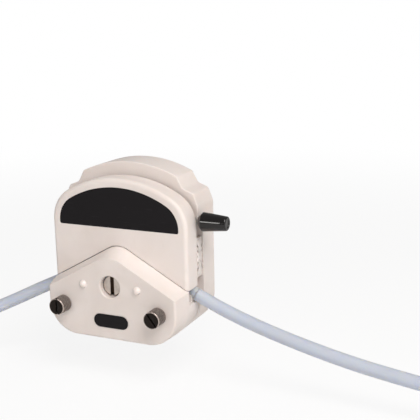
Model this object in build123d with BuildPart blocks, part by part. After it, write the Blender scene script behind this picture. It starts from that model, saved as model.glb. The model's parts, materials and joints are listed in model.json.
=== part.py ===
"""Easy-load peristaltic pump head with three rollers, in millimetres.

The origin is on the shaft axis at the rear mounting face. The front faces -Y, +X is to the
right of someone facing the front, and +Z is up. Distances called depth run forwards from
the rear face, so a depth of 10 lies at y = -10.
"""
from build123d import *
from math import atan2, cos, hypot, pi, radians, sin, sqrt, tan
import os

# ---- driving dimensions -------------------------------------------------------------
# Fits between pieces
running = 0.05        # radial play of a turning shaft or pin
slip = 0.02           # play of a pressed or bonded piece in its seat
gap = 0.3             # air between pieces of different bodies
side_play = 0.4       # end play of turning pieces

# Housings
side = 57.2           # half width of both housings and the cover
base = 41.2           # shaft axis to the flat base
lower_corner = 27.0   # radius of the two lower corners
wall = 3.5
lever_gap = 3.4       # slot between rear housing and cover, where the lever arm swings
cover_depth = 16.5
nose_depth = 14.9
edge_round = 0.8
boss_wall = 4.0       # ribs and bosses in the rear pockets
rib_x = 26.5          # upright ribs, besides the one in the middle
pocket_depth = 10.0

# Rear housing outline above the sides
crest = 88.6
crest_half = 40.2     # half width of the crown
crest_foot = 79.4     # height of the crown's two ends
neck = (44.8, 70.7)   # inner corner where crown meets shoulder
shoulder = (53.4, 67.4)
shoulder_foot = 57.5
neck_round, shoulder_round, flank_round, crest_round = 6.0, 4.0, 12.0, 1.5

# Cover
cover_crest = 79.0
cover_crown = 88.0    # radius of the crowned top edge
cover_corner = 26.5
cover_round = 3.0     # front edge
label_inset = 6.7     # cover edge to label edge
label_side = 3.0      # straight sides of the label, under its upper corners
label_thick = 0.7
label_sink = 0.8
label_corner = 1.5

# Split line between cover and nose: a gable of two slopes with a rounded peak
pitch = 0.556         # fall of the slopes per millimetre of width
peak = 30.4           # where the slopes would meet, above the shaft axis
peak_round = 17.0
split_gap = 0.5

# Nose
nose_side = 53.9      # half width of the front face
nose_peak = 25.2
nose_round = 21.5
nose_corner = 23.4
front_round = 2.0
rear_round = 3.0      # upright rear edges of the front housing
nose_wall = 2.0       # front housing behind the cover's front plane
stud_x = 22.9         # locating studs on the front, sockets at the back
stud_radius = 3.1
stud_sink = 0.6
socket_radius = 3.5
socket_depth = 3.0
plate_width, plate_height = 29.0, 10.2
plate_z = -26.7
plate_thick, plate_sink = 0.9, 0.6

# Shaft and bearings
shaft_radius = 7.5
bearing_radius = 14.0
bearing_width = 7.0
ball_radius = 1.95
ball_count = 8
ring_wall = 1.9       # radial thickness of an inner ring
cup_wall = 1.8        # radial thickness of an outer ring
register_depth = 9.0  # bore in the rear face for the drive's boss
register_radius = 14.0
shoulder_bore = 11.0
front_bore = 8.3
front_chamfer = 0.8
shaft_recess = 4.0    # shaft end behind the front face
slot_width, slot_depth = 3.2, 4.0
tang_width, tang_length, tang_height = 3.0, 7.0, 12.0
clip_thick = 1.2
clip_reach = 1.8      # radial height of a retaining ring
clip_air = 0.1        # beside a retaining ring
clip_room = 2.5       # depth of the front ring's recess
clip_pocket = 6.0     # depth of the pocket behind the lever pivot

# Rotor
sweep_radius = 22.0          # radius swept by the rollers
roller_radius = 7.0
roller_length = 14.4
roller_chamfer = 0.6
roller_count = 3
roller_angle = 90.0   # first roller, from +X
pin_radius = 2.0
bush_radius = 3.2
disc_radius = 19.5
disc_thick = 3.8
hub_radius = 9.2
hub_step = 0.6
cavity_radius = 23.0

# Tubing
tube_radius = 4.9
tube_depth = 34.0     # depth of the tubing's middle plane
tube_wall = 2.5
squeeze = 0.84        # share of two walls left between roller and bed
wrap = 60.0           # the bed holds the tube this far each side of the top
tube_fall = 24.0      # slope of the tube where it leaves the head
tube_exit_z = -5.8
tube_exit_x = 54.0
flat_half = 5.6       # half width of the flattened tube
swell = 1.1           # the tube's half height grows this much halfway down its bend
narrow = 0.2          # and its half width shrinks this much

# Lever and cam
lever_z = 47.5        # lever pivot above the shaft axis
lift = 10.5           # rise of the cover and bed over half a turn of the lever
follower_start = 17.0
follower_radius = 2.0
groove_depth = 4.6
groove_steps = 16     # spans of the spiral groove's outline
cam_thick = 6.0
cam_radius = 21.8
pivot_radius = 3.0
arm_thick = 2.5
arm_half = 5.5
arm_hub = 3.9
arm_tip = 2.5
arm_length = 76.0
handle_start = 58.8
handle_cone = 3.4
handle_length = 22.6
handle_inner, handle_root, handle_tip = 4.2, 7.2, 5.4
screw_radius = 1.5
lever_bolts = (10.0, 18.0)   # distances of the two screws from the pivot
bolt_bite = 4.5       # these screws inside the cam

# Slide rails and tube clamps of the moving block
rail_x = 39.0
rail_neck = 5.0
rail_head = 10.0
rail_thick = 4.0
rail_foot, rail_top = 12.0, 29.6
lip_top = 30.0        # top of the bed's rear lip, which clears the lever when lifted
follower_bite = 8.0   # follower pin inside the bed
cradle_in, cradle_out = 44.0, 55.6
cradle_foot = -19.0
cradle_lip = 1.0      # cradle in front of the tube
clamp_in = 47.0
clamp_lip = 6.0       # clamps in front of the tubing's middle plane
leg_in, leg_out = 51.0, 56.2
leg_top = 34.0
recess_in = 50.4
recess_depth = 7.6
recess_top, recess_foot = 45.6, -12.6
hollow_z, hollow_width, hollow_height, hollow_depth = 60.0, 56.0, 14.0, 9.0

# Screws
thumb_x, thumb_z = 40.2, -16.7
thumb_radius = 6.4
thumb_length = 11.2
thumb_thread = 2.5
thumb_shank = 2.3     # plain part inside the head
thumb_reach = 10.0    # screw past the rear face
thumb_hole = 2.75
thumb_slot, thumb_slot_depth = 1.7, 2.2
left_slot, right_slot = 90.0, 128.0   # how far the slots are turned
flutes = 30
flute_radius = 0.42
thumb_rim = 1.2       # plain band at each end of the knurl
thumb_chamfer = 0.4
case_screws = ((20.0, -33.0), (50.0, -25.0))
case_screw = 2.0
case_bite = 10.5      # housing screws inside the front housing
case_spare = 3.5      # their holes run on this far
cover_screws = ((36.0, 58.0), (42.0, 40.0))
screw_bite = 2.4      # cover screws inside the cover's front plate
rail_bite = 3.0       # rail screws inside the bed

# Free tubes: end faces of the tube held by the head, and hand-laid routes beyond them
tube_end_x = side + 0.4
tube_lead_x = 76.0
left_route = [(-97.0, -42.0, -26.0), (-115.0, -57.0, -34.0), (-131.0, -73.0, -39.5)]
right_route = [
    (104.0, -34.6, -25.2), (136.0, -36.4, -33.2), (171.0, -38.6, -40.2),
    (206.0, -40.6, -45.2), (240.0, -43.4, -48.2),
]

# ---- values that follow from them ----------------------------------------------------
rear_depth = tube_depth - flat_half - side_play     # thickness of the rear housing
cover_back = rear_depth + lever_gap
face_depth = cover_back + cover_depth
front_depth = face_depth + nose_depth
nose_back = face_depth - nose_wall
bed_radius = sweep_radius + 2 * tube_wall * squeeze
band_radius = (sweep_radius + bed_radius) / 2
band_half = (bed_radius - sweep_radius) / 2 - gap
pin_circle = sweep_radius - roller_radius
roller_back = tube_depth - roller_length / 2
disc_front = tube_depth + roller_length / 2 + side_play
disc_back = roller_back - side_play - disc_thick
cavity_back = disc_back - hub_step    # depth of the rotor pocket's floor
cavity_front = disc_front + disc_thick + hub_step
ring_radius = shaft_radius + ring_wall
cup_radius = bearing_radius - cup_wall
ball_circle = (ring_radius + cup_radius) / 2
follower_z = lever_z - follower_start
rail_middle = (rail_foot + rail_top) / 2
clamp_out = side - wall - slip
clamp_front = tube_depth + clamp_lip
tilt = radians(tube_fall)
fall = tan(tilt)


def upright(depth, height=0.0):
    """Sketch plane facing the front at a depth: local x is +X, local y is +Z."""
    return Plane(origin=(0, -depth, height), x_dir=(1, 0, 0), z_dir=(0, -1, 0))


# Route of the tube inside the head: an arc over the rotor, a bend back each way, straight exits
arc_end = (band_radius * sin(radians(wrap)), band_radius * cos(radians(wrap)))
bend_room = arc_end[1] - fall * (tube_exit_x - arc_end[0]) - tube_exit_z
bend_share = cos(tilt) - cos(radians(wrap)) - fall * (sin(radians(wrap)) - sin(tilt))
bend = bend_room / bend_share
bend_centre = (arc_end[0] + bend * sin(radians(wrap)), arc_end[1] + bend * cos(radians(wrap)))
bend_end = (bend_centre[0] - bend * sin(tilt), bend_centre[1] - bend * cos(tilt))


def tube_z(x):
    """Height of the tube's axis on the straight exits."""
    return tube_exit_z - fall * (x - tube_exit_x)


def bent(angle):
    """Point of the bend where the tube falls at an angle in degrees."""
    return (bend_centre[0] - bend * sin(radians(angle)), bend_centre[1] - bend * cos(radians(angle)))


# ---- outlines, drawn upright ----------------------------------------------------------
def corner_height(half, top, crown, corner):
    """Height at which a crowned panel's corners run into its sides."""
    return top - crown + sqrt((crown - corner) ** 2 - (half - corner) ** 2)


def crowned(half, top, crown, corner, foot):
    """Panel with a crowned top edge and rounded upper corners."""
    middle, level = top - crown, corner_height(half, top, crown, corner)
    grow = crown / (crown - corner)
    crown_end = ((half - corner) * grow, middle + (level - middle) * grow)
    with BuildSketch() as panel:
        with BuildLine():
            TangentArc((0, top), crown_end, tangent=(1, 0))
            TangentArc(crown_end, (half, level), tangent=(level - middle, corner - half))
            Line((half, level), (half, foot))
            mirror(about=Plane.YZ)
            Line((half, foot), (-half, foot))
        make_face()
    return panel.sketch_local


def gable(top, half, foot, crown, corner=0.0, slope=pitch):
    """House shape: two slopes with a rounded peak, upright sides and rounded lower corners."""
    with BuildSketch() as house:
        Polygon(
            (0, top), (-half, top - slope * half), (-half, foot),
            (half, foot), (half, top - slope * half), align=None,
        )
        if crown:
            fillet(house.vertices().sort_by(Axis.Y)[-1], crown)
        if corner:
            fillet(house.vertices().group_by(Axis.Y)[0], corner)
    return house.sketch_local


with BuildSketch() as rear_outline:
    with BuildLine():
        FilletPolyline(
            (0, -base), (side, -base), (side, shoulder_foot), shoulder, neck,
            (crest_half, crest_foot), radius=[lower_corner, flank_round, shoulder_round, neck_round],
        )
        mirror(about=Plane.YZ)
        ThreePointArc((crest_half, crest_foot), (0, crest), (-crest_half, crest_foot))
    make_face()
    fillet([v for v in rear_outline.vertices() if abs(v.Y - crest_foot) < slip], crest_round)

cover_outline = crowned(side, cover_crest, cover_crown, cover_corner, -base)
label_foot = corner_height(side, cover_crest, cover_crown, cover_corner) - label_side
with BuildSketch() as label_outline:
    add(crowned(
        side - label_inset, cover_crest - label_inset, cover_crown - label_inset,
        cover_corner - label_inset, label_foot,
    ))
    fillet(label_outline.vertices().group_by(Axis.Y)[0], label_corner)
nose_outline = gable(peak - split_gap * hypot(1, pitch), side, -base, peak_round, lower_corner)
front_outline = gable(nose_peak, nose_side, -base, nose_round, nose_corner)

# Everything under the tube's axis, for the bed's lower side
below_tube = [(0, 0), arc_end, bend_end, (2 * side, tube_z(2 * side)), (2 * side, -2 * base)]
with BuildSketch() as tube_channel:
    with BuildLine():
        ThreePointArc(arc_end, bent((wrap + tube_fall) / 2), bend_end)
        Line(bend_end, (2 * side, tube_z(2 * side)))
    trace(line_width=2 * (tube_radius + gap))
    with BuildLine():
        Polyline(*below_tube, (0, -2 * base), close=True)
    make_face()
    mirror(about=Plane.YZ)
    Circle(bed_radius)

# Under the tube, the lower housing rises to just below it
under_tube = tube_radius + gap
cup_peak = tube_z(0) - under_tube * hypot(1, fall)

# ---- rear housing ----------------------------------------------------------------------
rear_bosses = (
    (0, 0, register_radius + boss_wall),
    (0, lever_z, hub_radius + boss_wall),
    *[(s * stud_x, 0, socket_radius + boss_wall) for s in (-1, 1)],
    *[(s * thumb_x, thumb_z, thumb_hole + boss_wall) for s in (-1, 1)],
    *[(s * x, z, case_screw + boss_wall) for x, z in case_screws for s in (-1, 1)],
)
cam_pocket = cam_radius + side_play
cam_back = rear_depth - cam_thick - hub_step - side_play

with BuildPart() as rear_housing:
    with BuildSketch(upright(0)):
        add(rear_outline.sketch_local)
    extrude(amount=rear_depth)
    rims = rear_housing.edges().filter_by(Plane.XZ)
    fillet(rims, edge_round)
    with BuildSketch(upright(0)):
        offset(rear_outline.sketch_local, amount=-boss_wall, mode=Mode.ADD)
        for x, z, radius in rear_bosses:
            with Locations((x, z)):
                Circle(radius, mode=Mode.SUBTRACT)
        with Locations((-rib_x, 0), (0, 0), (rib_x, 0)):
            Rectangle(boss_wall, 2 * crest, mode=Mode.SUBTRACT)
        with Locations((0, 0), (0, lever_z)):
            Rectangle(2 * side, boss_wall, mode=Mode.SUBTRACT)
    extrude(amount=pocket_depth, mode=Mode.SUBTRACT)
    for radius, start, stop in (
        (register_radius, 0, register_depth),
        (shoulder_bore, 0, cavity_back),
        (bearing_radius, cavity_back - bearing_width, cavity_back),
        (cavity_radius, cavity_back, rear_depth),
    ):
        with BuildSketch(upright(start)):
            Circle(radius)
        extrude(amount=stop - start, mode=Mode.SUBTRACT)
    for radius, start, stop in (
        (pivot_radius + running, 0, rear_depth),
        (hub_radius, 0, clip_pocket),
        (cam_pocket, cam_back, rear_depth),
    ):
        with BuildSketch(upright(start)):
            with Locations((0, lever_z)):
                Circle(radius)
        extrude(amount=stop - start, mode=Mode.SUBTRACT)
    # T-grooves for the slide rails, wide at the foot so that the rails can enter
    rail_run = rail_top - rail_foot + lift
    neck_cut, head_cut = rail_neck + 2 * gap, rail_head + 2 * gap
    groove_back = rear_depth - 2 * rail_thick
    with BuildSketch(upright(groove_back)):
        with Locations((rail_x, rail_foot - gap), (-rail_x, rail_foot - gap)):
            Rectangle(head_cut, rail_run + 2 * gap, align=(Align.CENTER, Align.MIN))
    extrude(amount=rail_thick + 2 * gap, mode=Mode.SUBTRACT)
    with BuildSketch(upright(groove_back)):
        with Locations((rail_x, rail_foot - gap), (-rail_x, rail_foot - gap)):
            Rectangle(neck_cut, rail_run + 2 * gap, align=(Align.CENTER, Align.MIN))
            Rectangle(head_cut, rail_run / 2, align=(Align.CENTER, Align.MAX))
    extrude(amount=2 * rail_thick, mode=Mode.SUBTRACT)
    # Open recesses in the flanks for the clamp legs
    with BuildSketch(upright(rear_depth - recess_depth)):
        for s in (-1, 1):
            with Locations((s * (recess_in + side) / 2, (recess_top + recess_foot) / 2)):
                Rectangle(side - recess_in + slip, recess_top - recess_foot)
    extrude(amount=recess_depth, mode=Mode.SUBTRACT)
    # Screw holes and the sockets for the studs of a head behind
    with BuildSketch(upright(0)):
        with Locations((thumb_x, thumb_z), (-thumb_x, thumb_z)):
            Circle(thumb_hole)
        with Locations(*[(s * x, z) for x, z in case_screws for s in (-1, 1)]):
            Circle(case_screw)
    extrude(amount=rear_depth, mode=Mode.SUBTRACT)
    with BuildSketch(upright(0)):
        with Locations((stud_x, 0), (-stud_x, 0)):
            Circle(socket_radius)
    extrude(amount=socket_depth, mode=Mode.SUBTRACT)
rear_housing.part.label = "rear_housing"

# ---- front housing: lower cup and nose ---------------------------------------------------
cradle_back, cradle_front = rear_depth + gap, tube_depth + tube_radius + cradle_lip
bearing_front = cavity_front + bearing_width

with BuildPart() as front_housing:
    with BuildSketch(upright(face_depth)):
        add(nose_outline)
    with BuildSketch(upright(front_depth)):
        add(front_outline)
    loft(ruled=True)
    with BuildSketch(upright(nose_back)):
        add(nose_outline)
    extrude(amount=nose_wall)
    with BuildSketch(upright(rear_depth)):
        add(gable(cup_peak, side, -base, 0, lower_corner, fall))
    extrude(amount=nose_back - rear_depth)
    flanks = front_housing.edges().filter_by(Axis.Z).group_by(Axis.Y)[-1]
    fillet(flanks, rear_round)
    front_rim = front_housing.faces().sort_by(Axis.Y)[0].outer_wire().edges()
    fillet([e for e in front_rim if e.center().Z < -lower_corner / 2], front_round)
    for radius, start, stop in (
        (cavity_radius, rear_depth, cavity_front),
        (bearing_radius, cavity_front, bearing_front),
        (shoulder_bore, bearing_front, bearing_front + clip_room),
        (front_bore, bearing_front, front_depth),
    ):
        with BuildSketch(upright(start)):
            Circle(radius)
        extrude(amount=stop - start, mode=Mode.SUBTRACT)
    with BuildSketch(upright(front_depth)):
        Circle(front_bore + front_chamfer)
    extrude(amount=-front_chamfer, taper=45, mode=Mode.SUBTRACT)
    with BuildSketch(upright(rear_depth)):
        with Locations((thumb_x, thumb_z), (-thumb_x, thumb_z)):
            Circle(thumb_hole)
    extrude(amount=front_depth - rear_depth, mode=Mode.SUBTRACT)
    with BuildSketch(upright(rear_depth)):
        with Locations(*[(s * x, z) for x, z in case_screws for s in (-1, 1)]):
            Circle(case_screw)
    extrude(amount=case_bite + case_spare, mode=Mode.SUBTRACT)
    with BuildSketch(upright(front_depth - plate_sink)):
        with Locations((0, plate_z)):
            SlotOverall(plate_width + 2 * slip, plate_height + 2 * slip)
    extrude(amount=plate_sink, mode=Mode.SUBTRACT)
    # Seats for the tube cradles
    with BuildSketch(upright(rear_depth)):
        for s in (-1, 1):
            with Locations((s * (cradle_in + cradle_out) / 2, cradle_foot)):
                Rectangle(cradle_out - cradle_in, 2 * base, align=(Align.CENTER, Align.MIN))
    extrude(amount=cradle_front - rear_depth, mode=Mode.SUBTRACT)
    for s in (-1, 1):
        with Locations((s * stud_x, -(front_depth - stud_sink), 0)):
            Sphere(stud_radius)
front_housing.part.label = "front_housing"

# ---- tube cradles ------------------------------------------------------------------------
exit_axis = {s: Vector(s * cos(tilt), 0, -sin(tilt)) for s in (-1, 1)}


def exit_plane(s, x):
    """Plane across the tube's axis on side s, at a distance x from the middle."""
    return Plane(origin=(s * x, -tube_depth, tube_z(x)), x_dir=(0, 1, 0), z_dir=exit_axis[s])


cradles = {}
for s, name in ((-1, "left_tube_cradle"), (1, "right_tube_cradle")):
    with BuildPart() as cradle:
        with BuildSketch(upright(cradle_back)):
            with Locations((s * (cradle_in + cradle_out) / 2, cradle_foot)):
                Rectangle(
                    cradle_out - cradle_in - 2 * slip, tube_z(cradle_out) - cradle_foot,
                    align=(Align.CENTER, Align.MIN),
                )
        extrude(amount=cradle_front - cradle_back - slip)
        with BuildSketch(exit_plane(s, cradle_in - tube_radius)):
            Circle(tube_radius)
        extrude(amount=5 * tube_radius, mode=Mode.SUBTRACT)
    cradle.part.label = name
    cradles[name] = cradle.part


# ---- bearings ----------------------------------------------------------------------------
def race(inner, outer, depth):
    """Bearing ring with a ball groove."""
    with BuildPart() as ring:
        with BuildSketch(upright(depth)):
            Circle(outer)
            Circle(inner, mode=Mode.SUBTRACT)
        extrude(amount=bearing_width)
        middle = Plane(origin=(0, -depth - bearing_width / 2, 0), z_dir=(0, -1, 0))
        with Locations(middle):
            Torus(ball_circle, ball_radius + running, mode=Mode.SUBTRACT)
    return ring.part


def balls(depth):
    """Row of balls between the two rings."""
    with BuildPart() as row:
        with Locations(Plane(origin=(0, -depth - bearing_width / 2, 0), z_dir=(0, -1, 0))):
            with PolarLocations(ball_circle, ball_count):
                Sphere(ball_radius)
    return row.part


bearings = {}
for name, depth in (("rear", cavity_back - bearing_width), ("front", cavity_front)):
    bearings[f"{name}_bearing_inner_ring"] = race(shaft_radius + slip, ring_radius, depth)
    bearings[f"{name}_bearing_outer_ring"] = race(cup_radius, bearing_radius - slip, depth)
    bearings[f"{name}_bearing_balls"] = balls(depth)

# ---- plate on the nose ---------------------------------------------------------------------
with BuildPart() as nose_plate:
    with BuildSketch(upright(front_depth - plate_sink)):
        with Locations((0, plate_z)):
            SlotOverall(plate_width, plate_height)
    extrude(amount=plate_thick)
nose_plate.part.label = "nose_plate"

# ---- thumbscrews -----------------------------------------------------------------------------
thumbscrews = {}
for s, name, angle in ((-1, "left_thumbscrew", left_slot), (1, "right_thumbscrew", right_slot)):
    with BuildPart() as thumbscrew:
        with BuildSketch(upright(front_depth + gap)):
            with Locations((s * thumb_x, thumb_z)):
                Circle(thumb_radius)
        extrude(amount=thumb_length)
        chamfer(thumbscrew.edges().sort_by(Axis.Y)[0], thumb_chamfer)
        with BuildSketch(upright(front_depth + gap + thumb_rim)):
            with Locations((s * thumb_x, thumb_z)):
                with PolarLocations(thumb_radius, flutes):
                    Circle(flute_radius)
        extrude(amount=thumb_length - 2 * thumb_rim, mode=Mode.SUBTRACT)
        with BuildSketch(upright(front_depth + gap + thumb_length - thumb_slot_depth)):
            with Locations((s * thumb_x, thumb_z)):
                Rectangle(3 * thumb_radius, thumb_slot, rotation=angle)
        extrude(amount=thumb_slot_depth, mode=Mode.SUBTRACT)
        for radius, start, stop in (
            (thumb_thread, -thumb_reach, -gap), (thumb_shank, -gap, front_depth + gap),
        ):
            with BuildSketch(upright(start)):
                with Locations((s * thumb_x, thumb_z)):
                    Circle(radius)
            extrude(amount=stop - start)
    thumbscrew.part.label = name
    thumbscrews[name] = thumbscrew.part

# ---- screws through the rear housing into the front housing ----------------------------------
with BuildPart() as housing_screws:
    spots = [(s * x, z) for x, z in case_screws for s in (-1, 1)]
    with BuildSketch(upright(pocket_depth)):
        with Locations(*spots):
            Circle(case_screw - slip)
    extrude(amount=rear_depth + case_bite - pocket_depth)
housing_screws.part.label = "housing_screws"

# ---- rotor -------------------------------------------------------------------------------------
shaft_back = register_depth
shaft_front = front_depth - shaft_recess
with BuildPart() as drive_shaft:
    with BuildSketch(upright(shaft_back)):
        Circle(shaft_radius)
    extrude(amount=shaft_front - shaft_back)
    chamfer(drive_shaft.edges().group_by(Axis.Y)[0], edge_round / 2)
    with BuildSketch(upright(shaft_front - slot_depth)):
        Rectangle(slot_width, 3 * shaft_radius)
    extrude(amount=slot_depth, mode=Mode.SUBTRACT)
    with BuildSketch(upright(-tang_length)):
        Rectangle(tang_width, tang_height)
    extrude(amount=tang_length + shaft_back)
drive_shaft.part.label = "drive_shaft"


def pin_spots():
    """Places of the roller pins around the shaft."""
    return PolarLocations(pin_circle, roller_count, start_angle=roller_angle)


discs = {}
for name, depth, hub in (
    ("rear_rotor_disc", disc_back, -hub_step), ("front_rotor_disc", disc_front, hub_step),
):
    with BuildPart() as disc:
        with BuildSketch(upright(depth)):
            Circle(disc_radius)
        extrude(amount=disc_thick)
        with BuildSketch(upright(depth + (disc_thick if hub > 0 else 0))):
            Circle(hub_radius)
        extrude(amount=hub)
        with BuildSketch(upright(depth - disc_thick)):
            Circle(shaft_radius + slip)
            with pin_spots():
                Circle(pin_radius + slip)
        extrude(amount=3 * disc_thick, mode=Mode.SUBTRACT)
    disc.part.label = name
    discs[name] = disc.part

with BuildPart() as roller_pins:
    with BuildSketch(upright(disc_back)):
        with pin_spots():
            Circle(pin_radius)
    extrude(amount=disc_front + disc_thick - disc_back)
roller_pins.part.label = "roller_pins"

rollers = {}
for number in range(roller_count):
    angle = radians(roller_angle + number * 360 / roller_count)
    spot = (pin_circle * cos(angle), pin_circle * sin(angle))
    with BuildPart() as roller:
        with BuildSketch(upright(roller_back)):
            with Locations(spot):
                Circle(roller_radius)
        extrude(amount=roller_length)
        chamfer(roller.edges().filter_by(GeomType.CIRCLE), roller_chamfer)
        with BuildSketch(upright(roller_back)):
            with Locations(spot):
                Circle(bush_radius + slip)
        extrude(amount=roller_length, mode=Mode.SUBTRACT)
    with BuildPart() as bush:
        with BuildSketch(upright(roller_back)):
            with Locations(spot):
                Circle(bush_radius)
                Circle(pin_radius + running, mode=Mode.SUBTRACT)
        extrude(amount=roller_length)
    rollers[f"roller_{number + 1}"] = roller.part
    rollers[f"roller_bush_{number + 1}"] = bush.part


def snap_ring(inner, depth, centre_z):
    """Open retaining ring on a shaft."""
    with BuildPart() as ring:
        with BuildSketch(upright(depth)):
            with Locations((0, centre_z)):
                Circle(inner + clip_reach)
                Circle(inner + slip, mode=Mode.SUBTRACT)
                mouth = 2 * (inner + clip_reach)
                Rectangle(inner, mouth, align=(Align.CENTER, Align.MAX), mode=Mode.SUBTRACT)
        extrude(amount=clip_thick)
    return ring.part


rear_snap_ring = snap_ring(shaft_radius, cavity_back - bearing_width - clip_air - clip_thick, 0)
front_snap_ring = snap_ring(shaft_radius, bearing_front + clip_air, 0)

# ---- lever ----------------------------------------------------------------------------------------
cam_front = cam_back + side_play + cam_thick


def groove_radius(turn):
    """Distance of the cam groove from the pivot after part of a half turn, from 0 to 1."""
    return follower_start - lift * turn


def groove_point(turn, aside):
    """Point beside the groove's middle line, which winds clockwise from below the pivot."""
    radius, angle = groove_radius(turn), -pi / 2 - pi * turn
    lead = atan2(lift / pi, radius)
    return (
        radius * cos(angle) + aside * cos(angle - lead), radius * sin(angle) + aside * sin(angle - lead)
    )


groove_half = follower_radius + running
groove_turns = [k / groove_steps for k in range(groove_steps + 1)]
with BuildPart() as lever_cam:
    with BuildSketch(upright(cam_front - cam_thick)):
        with Locations((0, lever_z)):
            Circle(cam_radius)
            Circle(pivot_radius + slip, mode=Mode.SUBTRACT)
    extrude(amount=cam_thick)
    with BuildSketch(upright(cam_front - groove_depth, lever_z)):
        with BuildLine():
            outer_wall_line = Spline(*[groove_point(turn, groove_half) for turn in groove_turns])
            inner_wall_line = Spline(*[groove_point(turn, -groove_half) for turn in groove_turns])
            Line(outer_wall_line @ 0, inner_wall_line @ 0)
            Line(outer_wall_line @ 1, inner_wall_line @ 1)
        make_face()
        with Locations(groove_point(0, 0), groove_point(1, 0)):
            Circle(groove_half)
    extrude(amount=groove_depth, mode=Mode.SUBTRACT)
    with BuildSketch(upright(cam_front - bolt_bite)):
        with Locations(*[(x, lever_z) for x in lever_bolts]):
            Circle(screw_radius + slip)
    extrude(amount=bolt_bite, mode=Mode.SUBTRACT)
lever_cam.part.label = "lever_cam"

arm_back = rear_depth + gap
arm_front = arm_back + arm_thick
with BuildPart() as lever_arm:
    with BuildSketch(upright(arm_back)):
        with Locations((0, lever_z)):
            Circle(arm_hub)
            Polygon(
                (0, -arm_hub), (lever_bolts[0], -arm_half), (lever_bolts[1] + arm_half, -arm_half),
                (side - 2 * arm_half, -arm_tip), (arm_length, -arm_tip), (arm_length, arm_tip),
                (side - 2 * arm_half, arm_tip), (lever_bolts[1] + arm_half, arm_half),
                (lever_bolts[0], arm_half), (0, arm_hub), align=None,
            )
    extrude(amount=arm_thick)
    # Thicker foot inside the cam's pocket
    with BuildSketch(upright(cam_front)):
        with Locations((0, lever_z)):
            Circle(arm_hub)
            Rectangle(lever_bolts[1] + screw_radius, 2 * arm_hub, align=(Align.MIN, Align.CENTER))
    extrude(amount=arm_back - cam_front)
    with BuildSketch(upright(cam_front)):
        with Locations((0, lever_z)):
            Circle(pivot_radius + slip)
        with Locations(*[(x, lever_z) for x in lever_bolts]):
            Circle(screw_radius + slip)
    extrude(amount=arm_front - cam_front, mode=Mode.SUBTRACT)
lever_arm.part.label = "lever_arm"

with BuildPart() as lever_screws:
    with BuildSketch(upright(cam_front - bolt_bite)):
        with Locations(*[(x, lever_z) for x in lever_bolts]):
            Circle(screw_radius)
    extrude(amount=arm_front + bolt_bite - cam_front)
lever_screws.part.label = "lever_screws"

handle_axis = Plane(
    origin=(handle_start, -(arm_back + arm_front) / 2, lever_z), x_dir=(0, 1, 0), z_dir=(1, 0, 0)
)
with BuildPart() as lever_handle:
    with BuildSketch(Plane(origin=handle_axis.origin, x_dir=(1, 0, 0), z_dir=(0, -1, 0))):
        with BuildLine():
            Polyline(
                (0, 0), (0, handle_inner), (handle_cone, handle_root),
                (handle_length, handle_tip), (handle_length, 0), close=True,
            )
        make_face()
    revolve(axis=Axis(handle_axis.origin, (1, 0, 0)))
    chamfer(lever_handle.edges().sort_by(Axis.X)[-1], edge_round)
    with BuildSketch(handle_axis):
        Rectangle(arm_thick + 2 * slip, 2 * (arm_tip + slip))
    extrude(amount=arm_length - handle_start + slip, mode=Mode.SUBTRACT)
lever_handle.part.label = "lever_handle"

with BuildPart() as lever_pivot:
    with BuildSketch(upright(clip_pocket - 2 * clip_thick)):
        with Locations((0, lever_z)):
            Circle(pivot_radius)
    extrude(amount=arm_front - clip_pocket + 2 * clip_thick)
lever_pivot.part.label = "lever_pivot"

lever_snap_ring = snap_ring(pivot_radius, clip_pocket - clip_air - clip_thick, lever_z)

# ---- cover and what moves with it --------------------------------------------------------------
with BuildPart() as front_cover:
    with BuildSketch(upright(cover_back)):
        add(cover_outline)
    extrude(amount=cover_depth)
    with BuildSketch(upright(cover_back)):
        add(gable(peak, 2 * side, -2 * base, peak_round))
    extrude(amount=cover_depth, mode=Mode.SUBTRACT)
    front_rim = front_cover.faces().sort_by(Axis.Y)[0].outer_wire().edges()
    outer_rim = [
        e for e in front_rim if e.center().Z > cover_crest / 2 or abs(e.center().X) > side - slip
    ]
    fillet(outer_rim, cover_round)
    with BuildSketch(upright(cover_back)):
        add(crowned(side - wall, cover_crest - wall, cover_crown - wall, cover_corner - wall, -base))
    extrude(amount=cover_depth - wall, mode=Mode.SUBTRACT)
    with BuildSketch(upright(face_depth - label_sink)):
        offset(label_outline.sketch_local, amount=slip)
    extrude(amount=label_sink, mode=Mode.SUBTRACT)
    with BuildSketch(upright(nose_back)):
        with Locations(*[(s * x, z) for x, z in cover_screws for s in (-1, 1)]):
            Circle(screw_radius + slip)
    extrude(amount=-screw_bite, mode=Mode.SUBTRACT)
front_cover.part.label = "front_cover"

with BuildPart() as cover_label:
    with BuildSketch(upright(face_depth - label_sink)):
        add(label_outline.sketch_local)
    extrude(amount=label_thick)
cover_label.part.label = "cover_label"

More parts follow.
